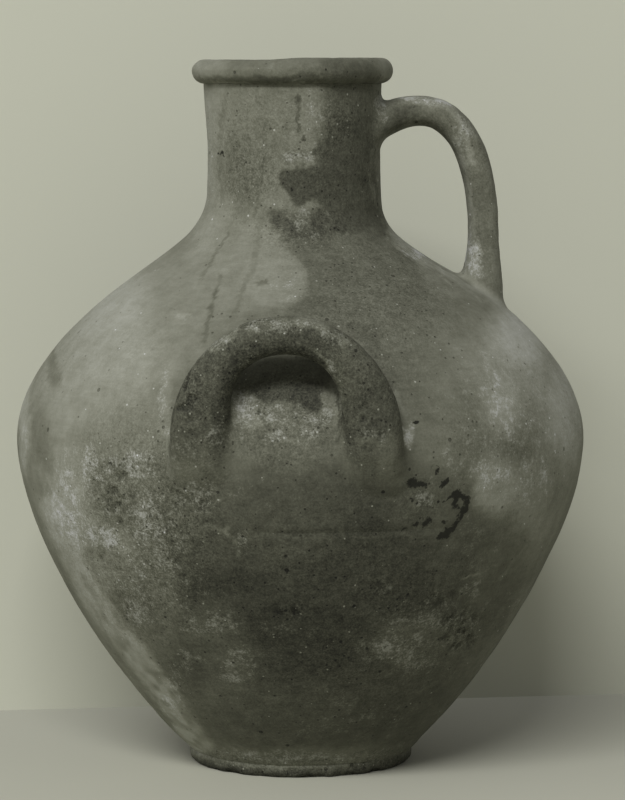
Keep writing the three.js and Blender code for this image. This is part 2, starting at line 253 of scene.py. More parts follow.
def spline(points, spacing):
    """Rows at even spacing on a smooth curve through the given rows, both ends included."""
    lengths = np.linalg.norm(np.diff(points[:, :2], axis=0), axis=1)
    along = np.concatenate([[0.0], np.cumsum(lengths)])
    count = max(1, round(along[-1] / spacing))
    wanted = np.linspace(0.0, along[-1], count + 1)
    if len(points) < 4:
        return np.column_stack([np.interp(wanted, along, column) for column in points.T])
    size = len(points)
    system = np.zeros((size, size))
    right = np.zeros((size, points.shape[1]))
    slopes = np.diff(points, axis=0) / lengths[:, None]
    for i in range(1, size - 1):
        system[i, i - 1 : i + 2] = lengths[i - 1], 2 * (lengths[i - 1] + lengths[i]), lengths[i]
        right[i] = 6 * (slopes[i] - slopes[i - 1])
    system[0, :2] = 1, -1
    system[-1, -2:] = -1, 1
    bend = np.linalg.solve(system, right)
    span = np.clip(np.searchsorted(along, wanted, side="right") - 1, 0, size - 2)
    h = lengths[span][:, None]
    b = (wanted - along[span])[:, None] / h
    a = 1 - b
    cubic = ((a**3 - a) * bend[span] + (b**3 - b) * bend[span + 1]) * h * h / 6
    return a * points[span] + b * points[span + 1] + cubic


def normals_of(rows):
    """Outward unit normals of an outline that is followed with the solid on its left."""
    along = np.gradient(rows[:, :2], axis=0)
    along /= np.linalg.norm(along, axis=1)[:, None]
    return np.column_stack([along[:, 1], -along[:, 0]])


def stretches_of(rows, is_open):
    """The outline cut at its corners: lists of rows that each follow one smooth curve."""
    if not is_open:
        first = corners_in(rows, False)[0]
        rows = np.roll(rows, -first, axis=0)
        rows = np.vstack([rows, rows[:1]])
    cuts = [0, *corners_in(rows, True), len(rows) - 1]
    return [rows[a : b + 1] for a, b in zip(cuts[:-1], cuts[1:])]


def corners_in(rows, is_open):
    """Where an outline turns sharply, or where a long flat meets a curve."""
    found = []
    inner = range(1, len(rows) - 1) if is_open else range(len(rows))
    for i in inner:
        before = rows[i, :2] - rows[i - 1, :2]
        after = rows[(i + 1) % len(rows), :2] - rows[i, :2]
        turn = math.atan2(before[0] * after[1] - before[1] * after[0], before @ after)
        lengths = sorted([np.linalg.norm(before), np.linalg.norm(after)])
        if abs(math.degrees(turn)) > CORNER_TURN or lengths[1] > CORNER_LENGTHS * lengths[0]:
            found.append(i)
    return found


OUTLINES = {node: outline_of(node) for node in ("foot", "lower_body", "upper_body", "neck", "lip")}


def join_outer_corners(below, above):
    """Let two walls meet at the skin, where the solids keep a gap."""
    low_rows = OUTLINES[below][0]
    high_rows = OUTLINES[above][0]
    distance = np.linalg.norm(low_rows[:, None, :2] - high_rows[None, :, :2], axis=2)
    distance[distance > JOINT_REACH] = np.inf
    reach = np.where(np.isfinite(distance), low_rows[:, None, 0], -np.inf)
    i, j = np.unravel_index(np.argmax(reach), reach.shape)
    low_rows[i] = high_rows[j] = (low_rows[i] + high_rows[j]) / 2
    return low_rows[i, 1]


SEAM_Z = join_outer_corners("lower_body", "upper_body")
COLLAR_Z = join_outer_corners("upper_body", "neck")
LIP_Z = join_outer_corners("neck", "lip")


def wall_outline():
    """The outer wall from foot to lip as rows of radius, height and axis place."""
    rows = []
    for node in ("lower_body", "upper_body", "neck"):
        stretches = stretches_of(*OUTLINES[node])
        outer = max(stretches, key=lambda part: part[-1, 1] - part[0, 1])
        rows.append(spline(outer, WALL_SPACING)[len(rows) > 0 :])
    return np.vstack(rows)


WALL = wall_outline()
WALL_NORMALS = normals_of(WALL)


def wall_at(height):
    """Radius, axis place and normal of the wall at some heights."""
    columns = [WALL[:, 0], WALL[:, 2], WALL_NORMALS[:, 0], WALL_NORMALS[:, 1]]
    return [np.interp(height, WALL[:, 1], column) for column in columns]


def off_wall(points):
    """Distance of points from the smooth outer wall, negative inside, and the nearest points on it."""
    height = points[:, 2].copy()
    for _ in range(NEAREST_ROUNDS):
        radius, axis, level, rise = wall_at(height)
        outward = np.hypot(points[:, 0] - axis, points[:, 1]) - radius
        upward = points[:, 2] - height
        height += level * (upward * level - outward * rise)
        height = np.clip(height, WALL[0, 1], WALL[-1, 1])
    distance = outward * level + upward * rise
    angle = np.arctan2(points[:, 1], points[:, 0] - axis)
    nearest = np.column_stack([axis + radius * np.cos(angle), radius * np.sin(angle), height])
    return distance, nearest


# Patches on the front of the jar, at places given as x and z in mm


def patch(spots, x, z, wide, tall, softness=0.6, turn=0):
    """How far places lie inside an oval: 1 inside, 0 outside and a soft rim between."""
    angle = math.radians(turn)
    across, up = spots[:, 0] - x, spots[:, 1] - z
    along = (across * math.cos(angle) + up * math.sin(angle)) / wide
    aside = (up * math.cos(angle) - across * math.sin(angle)) / tall
    return smooth(np.hypot(along, aside), 1 + softness, 1 - softness)


def heaped(spots, heaps):
    """The largest amount of any of some oval heaps."""
    return np.maximum.reduce([amount * patch(spots, *oval) for *oval, amount in heaps])


# Relief of the clay


def pitted(place, ovals):
    """Where crumbled pits are, from 0 to 1."""
    deep = smooth(noise(place, PIT_SIZE, 31), *PIT_EDGE) * (place[:, 1] < 0)
    return heaped(place[:, [0, 2]], ovals) * deep


def wall_relief(place):
    """How far the real wall stands off its smooth outline at points on that outline."""
    across, height = place[:, 0], place[:, 2]
    upper = smooth(height, COLLAR_Z - NECK_START, COLLAR_Z + NECK_FULL)
    rise = lumps(place, WALL_LUMPS, 11) * mix(1.0, NECK_UNEVEN, upper)
    rise -= NECK_DENT * smooth(across, *DENT_SIDE) * smooth(height, *DENT_LOW) * smooth(height, *DENT_HIGH)
    rise += FOOT_COVER * smooth(height, *COVER_Z) * smooth(across, *COVER_SIDE)
    rise += rings(place, *WALL_RINGS, 21) * mix(RING_HEIGHT, NECK_RING_HEIGHT, upper)
    front = smooth(across, *SEAM_LEFT) * smooth(across, *SEAM_RIGHT) * (place[:, 1] < 0)
    groove = np.exp(-(((height - SEAM_Z + 0.5 * noise(place, 40.0, 23)) / SEAM_WIDTH) ** 2))
    faint = SEAM_FAINT + SEAM_FAINT * noise(place, 60.0, 24)
    rise -= SEAM_DEPTH * groove * mix(faint, 1.0, front)
    return rise - PIT_DEPTH * pitted(place, WALL_PITTED)


def foot_relief(place):
    """The foot is rough, with crumbled places along its edge and a ledge at its left."""
    outer = smooth(np.hypot(place[:, 0], place[:, 1]), *FOOT_RIM)
    rough = 0.35 * layered(place, 12.0, 41) + 0.2 * noise(place, 3.5, 44)
    crumbled = smooth(noise(place * [1, 1, 0.5], 10.0, 45), *CRUMBLE_EDGE)
    ledge = FOOT_LEDGE * smooth(place[:, 0], *LEDGE_SIDE) + 0.12 * noise(place, 16.0, 46)
    edge = mix(-CRUMBLE_DEPTH * crumbled, ledge, smooth(place[:, 2], *FOOT_HIGH))
    return rough * mix(FOOT_UNDER_ROUGH, 1.0, outer) + outer * edge


def lip_relief(place):
    """The lip was rolled by hand. Its edge is a little knocked, and it sags at the left."""
    knocked = smooth(noise(place, 9.0, 54), *LIP_KNOCK_EDGE)
    sag = smooth(place[:, 0], *SAG_SIDE) * smooth(place[:, 2], LIP_Z + SAG_START, LIP_Z + SAG_FULL)
    return lumps(place, LIP_LUMPS, 51) - LIP_KNOCK * knocked - LIP_SAG * sag


def inner_relief(place):
    """Finger rings left inside by throwing."""
    return INNER_RING_HEIGHT * rings(place, *INNER_RINGS, 61) + 0.2 * noise(place, 24.0, 63)


def handle_relief(points):
    """Lumps of a handle pulled by hand."""
    return lumps(points, HANDLE_LUMPS, 71) - PIT_DEPTH * pitted(points, HANDLE_PITTED)


# Paint. Places are x and z in mm on the front of the jar. A level is the square root of a tone.

# Soft patches, painted in order: x, z, half width, half height, level and cover, and then the softness
# and the turn of those that differ from the others
WALL_PATCHES = [
    # The dark middle and the paler ground above the foot
    (12, 115, 88, 62, 0.205, 1, 0.5), (22, 162, 66, 40, 0.225, 1), (-22, 178, 42, 30, 0.28, 0.9),
    (0, 38, 74, 26, 0.268, 0.9, 0.7), (-45, 122, 18, 14, 0.225, 0.7, 0.5),
    # The pale left side and its darker mottling
    (-142, 186, 24, 48, 0.5, 0.9, 0.6, 6), (-140, 172, 15, 30, 0.58, 0.8, 0.5, 8),
    (-112, 152, 15, 9, 0.5, 0.7, 0.5, -12), (-108, 186, 17, 22, 0.385, 0.8, 0.5, -20),
    (-119, 144, 10, 6, 0.4, 0.8, 0.5), (-90, 182, 9, 24, 0.43, 0.7), (-84, 140, 9, 30, 0.4, 0.6, 0.6, 8),
    (-70, 197, 18, 20, 0.34, 0.7), (-157, 213, 7, 20, 0.37, 0.8, 0.5, 6), (-172, 218, 5, 38, 0.6, 0.8, 0.5),
    (-157, 178, 5, 9, 0.42, 0.7, 0.5, 8), (-140, 215, 10, 26, 0.49, 0.6), (-112, 218, 22, 12, 0.4, 0.6),
    # The shoulder left of the middle
    (-112, 272, 56, 34, 0.545, 0.9, 0.6, 38), (-112, 290, 24, 12, 0.59, 0.7, 0.6, 32),
    (-66, 300, 26, 32, 0.45, 0.8, 0.6, 25), (-34, 318, 28, 24, 0.465, 0.8, 0.5),
    (-58, 272, 15, 14, 0.41, 0.7), (-152, 254, 4, 10, 0.36, 0.7, 0.5, 20),
    # The shoulder right of the middle
    (70, 262, 30, 34, 0.35, 0.9, 0.7), (100, 266, 26, 26, 0.42, 0.8, 0.7),
    (128, 258, 24, 26, 0.55, 0.8, 0.6, -30), (136, 272, 18, 14, 0.64, 0.8, 0.6, -38),
    # The patch at x 166 lightens the right edge, which turns away from the lamps: painted light
    (119, 232, 15, 14, 0.58, 0.7), (152, 232, 14, 26, 0.54, 0.7), (166, 226, 12, 34, 0.6, 0.8),
    (139, 222, 10, 13, 0.43, 0.7, 0.5, 20), (92, 216, 20, 20, 0.4, 0.8),
    (118, 188, 14, 20, 0.56, 0.8, 0.5, 10), (140, 182, 11, 22, 0.5, 0.7, 0.5), (74, 182, 22, 17, 0.31, 0.8),
    (102, 148, 26, 18, 0.28, 0.8), (124, 142, 14, 20, 0.34, 0.7),
    # The lower right and the lower left
    (66, 92, 26, 20, 0.345, 0.8, 0.6, -12), (97, 96, 14, 18, 0.3, 0.8),
    (116, 112, 14, 26, 0.29, 0.8, 0.6, -15), (58, 46, 40, 28, 0.255, 0.9, 0.7),
    (-54, 103, 15, 14, 0.335, 0.8), (-40, 81, 14, 12, 0.335, 0.8), (-66, 74, 15, 15, 0.265, 0.8, 0.6, 20),
    (-84, 104, 12, 16, 0.34, 0.7), (-106, 112, 10, 14, 0.35, 0.7, 0.6, 15),
    # The neck
    (-58, 385, 15, 60, 0.53, 1), (-36, 400, 14, 30, 0.43, 0.9), (-36, 374, 14, 18, 0.36, 0.9),
    (-50, 352, 12, 14, 0.47, 0.5), (-22, 396, 9, 24, 0.38, 0.7, 0.5), (4, 404, 9, 22, 0.44, 1, 0.35),
    (-10, 410, 10, 12, 0.43, 0.8, 0.5), (32, 410, 15, 12, 0.33, 0.8, 0.5),
    (1, 344, 9, 8, 0.42, 0.9, 0.4, -20), (-13, 346, 9, 5, 0.34, 0.8, 0.5, 20), (43, 385, 3, 38, 0.4, 0.6),
    (43, 412, 6, 14, 0.4, 0.7), (24, 398, 7, 9, 0.34, 0.7, 0.6, 30),
    # The lip, and painted shade under it
    (-56, 433, 10, 12, 0.49, 0.9), (-28, 434, 24, 7, 0.38, 0.9), (18, 434, 24, 7, 0.365, 0.9),
    # A dark band just under the lip: painted shade
    (-4, 427, 62, 2.6, 0.25, 0.7, 0.5),
    # The wall seen through the arch
    (-10, 226, 32, 22, 0.32, 0.8, 0.25),
    # Under the right end of the front handle, and above the foot
    (62.5, 222, 3.2, 8, 0.5, 0.8, 0.4), (-5, 16, 50, 5, 0.39, 0.7),
]

# Patches with an outline, painted next: softness, level, cover, and x and z of each place on the outline
WALL_REGIONS = [
    # The dark right side of the neck, and the smudge that reaches out of it
    (5.5, 0.288, 0.9, 15, 440, 15, 412, 13, 398, 9, 380, 46, 380, 46, 440),
    (4, 0.258, 0.95, 22, 404, 14, 392, 8, 386, 10, 376, 6, 362, 12, 350, -5, 345, -15, 349, -19, 342,
     -12, 336, -8, 326, 2, 320, 60, 322, 50, 350, 42, 404),
    (1.8, 0.255, 0.95, -10, 373, 0, 374, 8, 375, 18, 375, 18, 352, 8, 355, 1, 351, -4, 352, -7, 357,
     -11, 362, -13, 368),
    (2.5, 0.4, 0.75, -6, 352, 3, 350, 7, 344, 5, 337, -1, 338, -5, 344),
    (1.5, 0.4, 0.6, -8, 384, 6, 386, 7, 381, -3, 380),
    # The shoulder, dark to the right of an edge and pale to its left
    (2.2, 0.33, 0.95, -9, 330, -4, 322, 1, 319, 4, 312, 5, 303, 0, 297, -8, 291, -14, 286, 40, 270, 78, 300,
     64, 326, 40, 336),
    (3, 0.5, 0.5, -34, 322, -12, 322, -1, 318, 3, 310, 3, 303, -4, 296, -22, 294, -36, 304),
    # The wall under the arch, with a painted shadow of the arch in the first two, and its pale deposits
    (3.2, 0.26, 1, -42, 267, 22, 267, 18, 250, 14, 245, -28, 247, -39, 250),
    (1.5, 0.215, 1, -27, 252, -28, 246, -24, 242, -10, 243.5, 0, 240, 6, 235, 10, 237, 15, 252),
    (1.4, 0.44, 0.9, -41, 248, -31, 247, -26, 243, -24, 236, -22, 228, -28, 225, -36, 228, -41, 233),
    (2, 0.39, 0.8, -24, 240, -10, 242, -4, 239, -6, 230, -14, 229, -22, 231),
    (2.2, 0.385, 0.8, -5, 226, 2, 233, 8, 235, 10, 228, 9, 219, 2, 216, -3, 218),
    (1.5, 0.37, 0.7, -20, 226, -11, 226, -10, 220, -18, 219),
    # The left side, pale beside dark mottling
    (3, 0.48, 0.7, -128, 160, -112, 160, -106, 151, -110, 144, -121, 147, -131, 152),
    (3, 0.37, 0.6, -112, 200, -100, 196, -98, 178, -104, 162, -113, 166, -117, 184),
    # Above the foot the wall is paler, and its edge wanders
    (2.5, 0.4, 0.6, -44, 20, -20, 18, 10, 17, 48, 14, 58, 9, 20, 9, -20, 10, -46, 13),
]

FRONT_HANDLE_PATCHES = [
    (-10, 250, 90, 70, 0.265, 1, 0.3), (-62, 250, 14, 26, 0.275, 0.8), (38, 240, 16, 26, 0.24, 0.8),
    (30, 266, 14, 12, 0.29, 0.8), (-66, 204, 17, 13, 0.39, 0.9, 0.7), (44, 206, 18, 12, 0.29, 0.8, 0.7),
    (51, 207, 7, 15, 0.345, 0.8), (27, 208, 8, 13, 0.265, 0.7),
]

NECK_HANDLE_PATCHES = [
    (90, 360, 60, 80, 0.385, 1, 0.3), (112, 350, 5, 26, 0.35, 0.8, 0.7),
    (60, 403, 14, 5, 0.265, 1, 0.6, 30), (80, 400, 9, 5, 0.34, 0.8, 0.6, -10),
    (76, 416, 26, 4, 0.48, 0.9, 0.7), (106, 318, 5, 14, 0.54, 0.9), (122, 330, 3, 40, 0.44, 0.7, 0.7),
]

# Soft strokes: half width, level, cover, and x and z of each place that they run through
WALL_STROKES = [
    (9, 0.61, 0.85, -150, 168, -136, 132, -126, 110, -106, 86, -90, 62, -76, 40, -64, 18),
    (4, 0.52, 0.9, 57, 332, 70, 322, 84, 314, 104, 302, 124, 292),
    (3, 0.48, 0.8, -77, 258, -80, 240, -80, 222), (5, 0.29, 0.8, 34, 282, 44, 270, 50, 259, 55, 246),
    # The stroke at x 55 to 57 lightens the crease by the lower end of the front handle's right leg: painted
    # light over its shade
    (1.2, 0.43, 0.8, 56, 246, 60, 236, 62, 228), (3, 0.365, 0.7, 55, 216, 56, 206, 57, 196),
    # The stroke at x -76 to -77 lightens the crease where the front handle's left leg meets the wall: painted
    # light over its shade
    (2, 0.46, 0.6, -76, 224, -77, 210, -76, 198), (2, 0.4, 0.7, 14, 247, 15, 236, 16, 226),
    (1, 0.21, 0.7, 21, 248, 22, 232, 21, 218), (1.6, 0.225, 0.55, -24, 167, 0, 166.8, 24, 166.3, 60, 165.6),
    (0.9, 0.335, 0.55, -16, 162.6, 20, 162.2, 48, 162, 68, 161.5),
    (1.3, 0.31, 0.8, -48, 309, -51, 300, -55, 287, -57, 274),
    (0.8, 0.35, 0.6, -43, 336, -47, 329, -56, 316, -60, 308),
    (0.9, 0.3, 0.6, -22, 402, -22.5, 382, -24, 362, -28, 344),
    (0.9, 0.36, 0.45, -47, 412, -50, 380, -48, 352),
    (1.6, 0.37, 0.6, -25, 340, -27, 322, -34, 304, -39, 290, -42, 278),
    (1.3, 0.42, 0.6, -55, 168, -44, 166, -38, 160, -36, 152), (1.5, 0.27, 0.85, -1.6, 417, -1, 410),
    (1, 0.28, 0.8, -1, 410, -1.8, 403, -1.2, 396.5), (0.7, 0.28, 0.8, -27, 418, -26, 414),
    (0.7, 0.28, 0.8, -24.5, 417, -24, 413), (0.9, 0.28, 0.7, -8, 377.5, -2, 378.5, 3, 377),
    (0.8, 0.22, 0.8, 2, 393, 3, 392), (0.9, 0.3, 0.6, 14, 379, 18, 378),
    (0.8, 0.3, 0.6, -26, 306, -20, 306.5), (0.8, 0.44, 0.6, 134, 174, 138, 160, 141, 148),
    (0.8, 0.44, 0.6, 137, 150, 128, 138, 121, 128), (0.7, 0.46, 0.6, 96, 131, 104, 133, 110, 134),
    (0.7, 0.46, 0.6, 95, 287, 99, 283), (0.7, 0.44, 0.6, 100, 261, 109, 262),
    (1.1, 0.56, 0.6, -73, 287, -69, 288.5, -66, 287.5), (0.9, 0.44, 0.6, 44, 385, 43, 366, 46, 350),
]

FRONT_HANDLE_STROKES = [
    # The first stroke darkens the underside of the arch where the bar faces down: painted shade
    (6.5, 0.19, 0.95, -45, 234, -42, 252, -35, 264, -22, 270, -8, 272, 5, 270),
    (3.4, 0.42, 0.8, -54, 275, -42, 282, -26, 288, -8, 290, 6, 290, 14, 287),
    (2.2, 0.44, 0.85, 11, 288, 18, 283, 26, 278),
    # The next stroke is a painted highlight: a thin pale line along the inner edge of the arch
    (1.1, 0.5, 0.9, -24, 263.5, -18, 267, -11, 269, -4, 269, 3, 267, 9, 263),
    (1.2, 0.4, 0.8, 9, 273, 15, 266, 18, 256, 19, 246), (0.8, 0.4, 0.6, 23, 250, 25, 240, 27, 234),
    (1.4, 0.2, 0.7, -71, 252, -75, 240, -76, 228), (1.2, 0.36, 0.6, 33, 221, 41, 221, 48, 219),
]

NECK_HANDLE_STROKES = [
    (2, 0.5, 0.8, 92, 411, 98, 401, 103, 390, 107, 376),
    (2.6, 0.5, 0.7, 95, 392, 101, 376, 105, 350, 106, 330),
]

# Pale grainy deposits: x, z, half width, half height, amount
WALL_CRUST = [
    (-33, 237, 10, 13, 0.46), (-14, 236, 12, 8, 0.42), (4, 226, 8, 10, 0.43), (15, 232, 3, 14, 0.34),
    (-15, 222, 7, 5, 0.4), (-79, 240, 4, 20, 0.36), (-140, 175, 16, 32, 0.36), (-118, 155, 14, 9, 0.45),
    (-88, 168, 18, 22, 0.44), (-96, 204, 20, 9, 0.42), (-124, 196, 14, 16, 0.34), (-62, 192, 14, 12, 0.46),
    (-55, 206, 4, 12, 0.42), (-70, 208, 8, 10, 0.4), (-48, 224, 5, 7, 0.45), (-80, 150, 16, 26, 0.34),
    (113, 197, 14, 14, 0.34), (114, 240, 14, 20, 0.3), (143, 186, 11, 18, 0.34), (130, 214, 26, 30, 0.26),
    (72, 184, 7, 6, 0.44), (-50, 106, 13, 9, 0.44), (-36, 82, 12, 8, 0.42), (-42, 74, 12, 7, 0.44),
    (-62, 104, 16, 8, 0.38), (-70, 78, 12, 10, 0.32), (60, 90, 24, 14, 0.42), (70, 112, 20, 12, 0.38),
    (76, 80, 16, 12, 0.34), (88, 108, 12, 14, 0.4), (48, 130, 8, 6, 0.38), (-10, 15, 40, 5, 0.36),
    (-12, 306, 16, 10, 0.2), (0, 344, 7, 8, 0.42), (-78, 48, 8, 26, 0.34), (72, 321, 10, 4, 0.5),
    (-36, 158, 6, 10, 0.4), (62.5, 222, 4, 10, 0.42), (-2, 382, 12, 5, 0.38), (-100, 118, 14, 26, 0.34),
    (-69, 288, 3, 1.5, 0.3), (5, 405, 6, 18, 0.26), (46, 410, 4, 12, 0.44), (10, 340, 14, 14, 0.24),
    (30, 40, 50, 20, 0.2), (104, 126, 8, 6, 0.4), (-20, 190, 26, 14, 0.24), (-60, 128, 22, 14, 0.26),
]
FRONT_HANDLE_CRUST = [
    (-14, 288, 40, 5, 0.4), (-48, 278, 9, 5, 0.46), (19, 282, 9, 4, 0.5), (16, 266, 5, 8, 0.38),
    (42, 224, 9, 5, 0.44), (-50, 220, 7, 12, 0.44), (-66, 214, 8, 8, 0.4),
]
NECK_HANDLE_CRUST = [
    (108, 318, 6, 16, 0.5), (98, 396, 8, 14, 0.36), (76, 416, 24, 4, 0.42), (48, 410, 5, 12, 0.42),
]

# Black stains: half width, and x and z of each place that they run through
WALL_STAINS = [
    (1.6, 88, 185, 91, 186, 95, 184), (1.7, 95, 184, 97.5, 181), (1.3, 90.5, 185, 90, 179, 93, 177),
    (2.2, 97, 179, 95.5, 175), (1.5, 95.5, 175, 93, 170), (2, 92, 169, 88.5, 165, 85, 161, 82.5, 160),
    (2.1, 65, 195, 67, 193.5), (1.7, 67, 193.5, 72.5, 193), (1, 80.5, 203, 80.8, 200.5, 79.5, 198),
    (0.9, 76, 203.5, 77, 204), (1.3, 86, 195.5, 83, 192), (1.7, 73.5, 169, 75.8, 171.3),
    (1.2, 67, 170, 68.3, 170.6), (1.1, 84, 169, 85.3, 169.6), (0.9, 60.3, 166, 64, 166),
    (0.6, 69, 165, 70.5, 164.6), (0.8, 74.5, 185, 75.5, 184.6), (0.7, 81, 182.3, 81, 181),
    (0.7, 84.3, 181, 85, 180.7), (0.9, 64.5, 185, 66.5, 183.5), (0.8, 66, 229, 68, 230),
    (0.9, 16, 282, 18, 282), (0.6, -51, 383.5, -48.2, 381.8),
]

# How rough the clay is: x, z, half width, half height, amount
WALL_GRIT = [
    (10, 110, 100, 75, 0.55), (-92, 160, 48, 66, 1), (-108, 186, 22, 26, 1.2), (96, 97, 16, 17, 1),
    (-4, 117, 12, 6, 0.95), (-56, 182, 12, 7, 0.95), (40, 300, 45, 45, 0.6), (0, 385, 60, 45, 0.6),
    (22, 402, 14, 16, 0.95), (-26, 374, 22, 22, 0.8), (2, 338, 30, 14, 0.8), (4, 384, 14, 6, 0.95),
    (130, 210, 45, 60, 0.4), (70, 182, 16, 16, 0.6), (-10, 230, 36, 26, 0.8), (0, 8, 80, 8, 0.9),
]
HANDLE_GRIT = [(-64, 248, 12, 24, 1.1), (-10, 250, 80, 60, 0.85), (100, 360, 60, 80, 0.45)]
LEAST_GRIT = 0.08

# All paint of a surface: patches, regions, strokes, crust, stains, grit, pits and the level of the ground
PAINTS = {
    "wall": (WALL_PATCHES, WALL_REGIONS, WALL_STROKES, WALL_CRUST, WALL_STAINS, WALL_GRIT, WALL_PITTED, 0.38),
    "front": (FRONT_HANDLE_PATCHES, [], FRONT_HANDLE_STROKES, FRONT_HANDLE_CRUST, [], HANDLE_GRIT,
              HANDLE_PITTED, 0.29),
    "neck": (NECK_HANDLE_PATCHES, [], NECK_HANDLE_STROKES, NECK_HANDLE_CRUST, [], HANDLE_GRIT,
             HANDLE_PITTED, 0.39),
}
NECK_HANDLE_SIDE = 60

# How painted edges wander: distance, size and seed
COARSE_WANDER = (5.0, 26.0, 101)
FINE_WANDER = (0.8, 8.0, 111)
RAGGED_WANDERS = [(1.6, 6.0, 91), (1.9, 2.6, 95)]

# Where the paint of the front begins, the crust and grit of the back, and the foot's dark edge
FRONT_Y = (30, 0)
LOOSE_EDGE = (0.25, 1.0)
LOOSE_CRUST = 0.22
BACK_CRUST = 0.45
BACK_GRIT = 0.4
FOOT_EDGE_LEVEL = 0.2
FOOT_EDGE_Z = (9.0, 1.5)
FOOT_PAINT_Z = 9.0


def warped(place, amount, size, seed):
    """Shifts in x and z from noise, which make painted edges wander."""
    return amount * np.column_stack([layered(place, size, seed), layered(place, size, seed + 5)])


def within(spots, outline, softness):
    """How far places lie inside a closed outline: a half on it, with a soft rim to both sides."""
    closed = [*outline, *outline[:2]]
    inside = np.zeros(len(spots), dtype=bool)
    for x0, z0, x1, z1 in zip(closed[:-2:2], closed[1:-2:2], closed[2::2], closed[3::2]):
        passed = (spots[:, 1] < z0) != (spots[:, 1] < z1)
        crossing = x0 + (spots[:, 1] - z0) * (x1 - x0) / (z1 - z0 or 1)
        inside ^= passed & (spots[:, 0] < crossing)
    distance = from_path(spots, closed)
    return smooth(np.where(inside, distance, -distance), -softness, softness)


def from_path(spots, path):
    """Distance of places from a line through some points, given as x, z, x, z and so on."""
    points = np.reshape(path, (-1, 2))
    nearest = np.full(len(spots), np.inf)
    for start, end in zip(points[:-1], points[1:]):
        step = end - start
        share = np.clip((spots - start) @ step / (step @ step), 0, 1)
        nearest = np.minimum(nearest, np.linalg.norm(spots - start - share[:, None] * step, axis=1))
    return nearest


def painted(level, spots, fine_spots, fading, patches, regions, strokes):
    """Lay soft patches, outlined ones and then strokes over a ground level."""
    for x, z, wide, tall, wanted, cover, *shape in patches:
        level = mix(level, wanted, cover * patch(spots, x, z, wide, tall, *shape))
    for softness, wanted, cover, *outline in regions:
        level = mix(level, wanted, cover * within(fine_spots, outline, softness))
    for half_width, wanted, cover, *path in strokes:
        distance = from_path(fine_spots, path)
        level = mix(level, wanted, cover * fading * smooth(distance, 1.5 * half_width, 0.5 * half_width))
    return level


def stained(spots, stains):
    """1 in the middle of a stain, a half on its edge and 0 beyond."""
    amount = np.zeros(len(spots))
    for half_width, *path in stains:
        amount = np.maximum(amount, 1 - from_path(spots, path) / (2 * half_width))
    return np.maximum(amount, 0)


def paint_of(place, patches, regions, strokes, crust, stains, grit, pits, ground):
    """Level, crust, stain and grit at some places. The back has mottling of its own."""
    front = smooth(place[:, 1], *FRONT_Y)
    ragged = sum(warped(place, *wander) for wander in RAGGED_WANDERS)
    spots = place[:, [0, 2]] + (warped(place, *COARSE_WANDER) + ragged)
    fine_spots = place[:, [0, 2]] + (warped(place, *FINE_WANDER) + ragged)
    mottled = ground + 0.07 * noise(place, 85.0, 121) + 0.05 * layered(place, 30.0, 122)
    fading = np.clip(0.85 + 0.6 * noise(place, 7.0, 125), 0, 1)
    level = mix(mottled, painted(mottled, spots, fine_spots, fading, patches, regions, strokes), front)
    level += 0.02 * layered(place, 16.0, 131) - PIT_DIRT * pitted(place, pits)
    loose = smooth(noise(place, 42.0, 141) + 0.6 * noise(place, 15.0, 142), *LOOSE_EDGE)
    heaps = mix(BACK_CRUST * loose, np.maximum(heaped(spots, crust), LOOSE_CRUST * loose), front)
    rough = mix(BACK_GRIT, np.maximum(heaped(spots, grit), LEAST_GRIT), front)
    rough += 0.12 * noise(place, 36.0, 151)
    return {"level": level, "crust": heaps, "stain": stained(fine_spots, stains) * front, "grit": rough}


def wall_paint(place):
    return paint_of(place, *PAINTS["wall"])


def foot_paint(place):
    """The wall's paint goes on over the foot and ends in a dark rough edge."""
    paint = wall_paint(np.maximum(place, [-np.inf, -np.inf, FOOT_PAINT_Z]))
    dark = smooth(place[:, 2] + 1.6 * noise(place, 9.0, 161), *FOOT_EDGE_Z)
    paint["level"] = mix(paint["level"], FOOT_EDGE_LEVEL, dark)
    paint["crust"] *= 1 - dark
    return paint


def handle_paint(place, own):
    """Paint of a handle skin, which runs into the paint of the wall where own is 0."""
    wall = wall_paint(off_wall(place)[1])
    handle = paint_of(place, *PAINTS["neck" if place[:, 0].mean() > NECK_HANDLE_SIDE else "front"])
    return {name: mix(wall[name], handle[name], own) for name in wall}


def keep_paint(piece, paint):
    """Store painted amounts on a mesh, for its material."""
    for name, values in paint.items():
        piece.data.attributes.new(name, "FLOAT", "POINT").data.foreach_set("value", values.astype(np.float32))


# Turned skins


def column_angles():
    """Angles round the jar, closer together at the front."""
    even = np.arange(COLUMNS) * 2 * math.pi / COLUMNS
    return even - FRONT_CROWDING * np.sin(even) - math.pi / 2


def make_mesh(name, points, faces, smooth_shading=True):
    """A mesh object from points in mm."""
    mesh = bpy.data.meshes.new(name)
    mesh.from_pydata((points * METRES).tolist(), [], faces)
    mesh.validate()
    mesh.polygons.foreach_set("use_smooth", [smooth_shading] * len(mesh.polygons))
    piece = bpy.data.objects.new(name, mesh)
    bpy.context.scene.collection.objects.link(piece)
    return piece


def joined_rows(node):
    """A turned piece's fine outline: radius, height, axis place, normal and kind of each row.

    The kind is OUTSIDE, INSIDE or 0. A corner keeps the side that carries the relief.
    """
    parts = []
    for part in stretches_of(*OUTLINES[node]):
        rising = part[-1, 1] - part[0, 1]
        is_outer = node in ("foot", "lip") or rising > LEAST_WALL_RISE
        kind = OUTSIDE if is_outer else INSIDE if rising < -LEAST_WALL_RISE else 0
        fine = spline(part, OUTER_SPACING[node] if is_outer else INNER_SPACING)
        parts.append((kind, np.column_stack([fine, normals_of(fine)])))
    closed = not OUTLINES[node][1]
    kept = []
    for k, (kind, rows) in enumerate(parts):
        before = parts[k - 1][0] if k or closed else -1
        after = parts[(k + 1) % len(parts)][0] if k + 1 < len(parts) or closed else -1
        rows = np.column_stack([rows, np.full(len(rows), kind)])
        kept.append(rows[int(before > kind) : len(rows) - int(after >= kind)])
    return np.vstack(kept)


